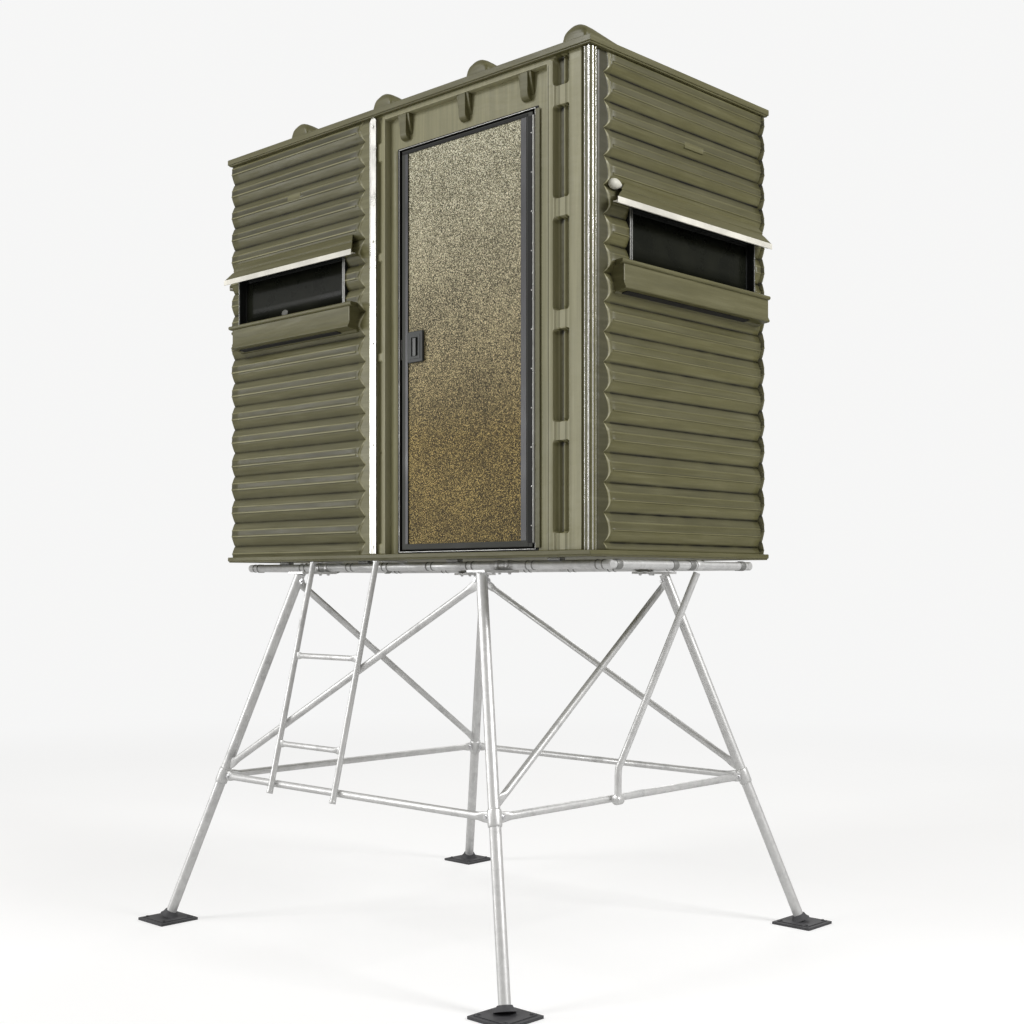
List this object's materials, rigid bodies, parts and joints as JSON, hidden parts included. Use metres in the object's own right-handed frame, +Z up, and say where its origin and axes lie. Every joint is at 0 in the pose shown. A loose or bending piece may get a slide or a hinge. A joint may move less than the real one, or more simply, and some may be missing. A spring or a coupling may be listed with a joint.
{
  "type": "elevated box blind",
  "caption": "Ribbed hard-sided observation cabin with hooded sliding windows and a side-hung door, raised on a splayed tube tower with a ladder and flat foot pads.",
  "frame": {"origin": "on the ground under the middle of the blind", "axes": "+Z up, the wall with the door faces -Y, +X to the right seen from that side"},
  "size_m": [2.4986, 2.237, 3.82],
  "materials": {
    "olive_plastic": "moulded, satin",
    "galvanised_tube": "dull zinc coat",
    "zinc_hardware": "bright zinc plate",
    "black_pad": "matt moulded",
    "bare_aluminium": "mill finish",
    "charcoal_frame": "powder coat, satin",
    "smoked_pane": "smoked, glossy",
    "black_seal": "soft, matt",
    "speckled_skin": "speckled bronze coat",
    "door_liner": "foam board, matt",
    "door_hinge_steel": "plain",
    "latch_black": "satin black",
    "latch_steel": "plain"
  },
  "bodies": {
    "stand": {"brace_bolts": "zinc_hardware", "corner_posts": "bare_aluminium", "corner_trim": "bare_aluminium", "coupling_sleeves": "zinc_hardware", "diagonal_front": "galvanised_tube", "diagonal_left": "galvanised_tube", "diagonal_rear": "galvanised_tube", "diagonal_right": "galvanised_tube", "door_hinge_fixed": "door_hinge_steel", "door_hinge_pin": "door_hinge_steel", "door_jamb": "charcoal_frame", "door_seal": "black_seal", "drip_rails": "bare_aluminium", "floor_tray": "olive_plastic", "foot_pads": "black_pad", "front_door_panel": "olive_plastic", "front_window_panel": "olive_plastic", "joint_strips": "bare_aluminium", "ladder_rungs": "galvanised_tube", "ladder_stringers": "galvanised_tube", "latch_keeper": "latch_steel", "left_window_panel": "olive_plastic", "leg_front_left": "galvanised_tube", "leg_front_right": "galvanised_tube", "leg_rear_left": "galvanised_tube", "leg_rear_right": "galvanised_tube", "platform_end_tubes": "galvanised_tube", "platform_rail_front": "galvanised_tube", "platform_rail_rear": "galvanised_tube", "rear_left_window_panel": "olive_plastic", "rear_right_window_panel": "olive_plastic", "right_window_panel": "olive_plastic", "ring_brace_front": "galvanised_tube", "ring_brace_left": "galvanised_tube", "ring_brace_rear": "galvanised_tube", "ring_brace_right": "galvanised_tube", "roof_cap": "olive_plastic", "side_struts": "galvanised_tube", "tube_clamps": "zinc_hardware", "window_frames": "charcoal_frame", "window_tracks": "charcoal_frame"},
    "door": {"door_frame": "charcoal_frame", "door_skin": "speckled_skin", "door_liner": "door_liner", "door_hinge_moving": "door_hinge_steel", "latch_plate": "latch_black", "latch_pin": "latch_steel"},
    "latch_paddle": {"latch_paddle": "latch_steel"},
    "latch_bolt": {"latch_bolt": "latch_steel"},
    "window_front": {"sash_front": "charcoal_frame", "pane_front": "smoked_pane"},
    "window_right": {"sash_right": "charcoal_frame", "pane_right": "smoked_pane"},
    "window_left": {"sash_left": "charcoal_frame", "pane_left": "smoked_pane"},
    "window_rear_right": {"sash_rear_right": "charcoal_frame", "pane_rear_right": "smoked_pane"},
    "window_rear_left": {"sash_rear_left": "charcoal_frame", "pane_rear_left": "smoked_pane"}
  },
  "joints": [
    {"name": "door_swing", "type": "hinge", "parent": "stand", "child": "door", "pos_m": [0.8645, -0.578, 2.6], "axis": [0, 0, 1], "range_deg": [0, 110]},
    {"name": "latch_pull", "type": "hinge", "parent": "door", "child": "latch_paddle", "pos_m": [0.1415, -0.5835, 2.662], "axis": [0, 0, -1], "range_deg": [0, 25]},
    {"name": "bolt_slide", "type": "slide", "parent": "door", "child": "latch_bolt", "axis": [1, 0, 0], "range_m": [0, 0.0119], "stiffness_N_per_m": 250, "springref_m": -0.006},
    {"name": "window_slide_front", "type": "slide", "parent": "stand", "child": "window_front", "axis": [0, 0, -1], "range_m": [0, 0.215]},
    {"name": "window_slide_right", "type": "slide", "parent": "stand", "child": "window_right", "axis": [0, 0, -1], "range_m": [0, 0.215]},
    {"name": "window_slide_left", "type": "slide", "parent": "stand", "child": "window_left", "axis": [0, 0, -1], "range_m": [0, 0.215]},
    {"name": "window_slide_rear_right", "type": "slide", "parent": "stand", "child": "window_rear_right", "axis": [0, 0, -1], "range_m": [0, 0.215]},
    {"name": "window_slide_rear_left", "type": "slide", "parent": "stand", "child": "window_rear_left", "axis": [0, 0, -1], "range_m": [0, 0.215]}
  ],
  "couplings": [
    {"joint": "latch_pull", "follows": "bolt_slide", "rad_per_m": 36.36}
  ]
}
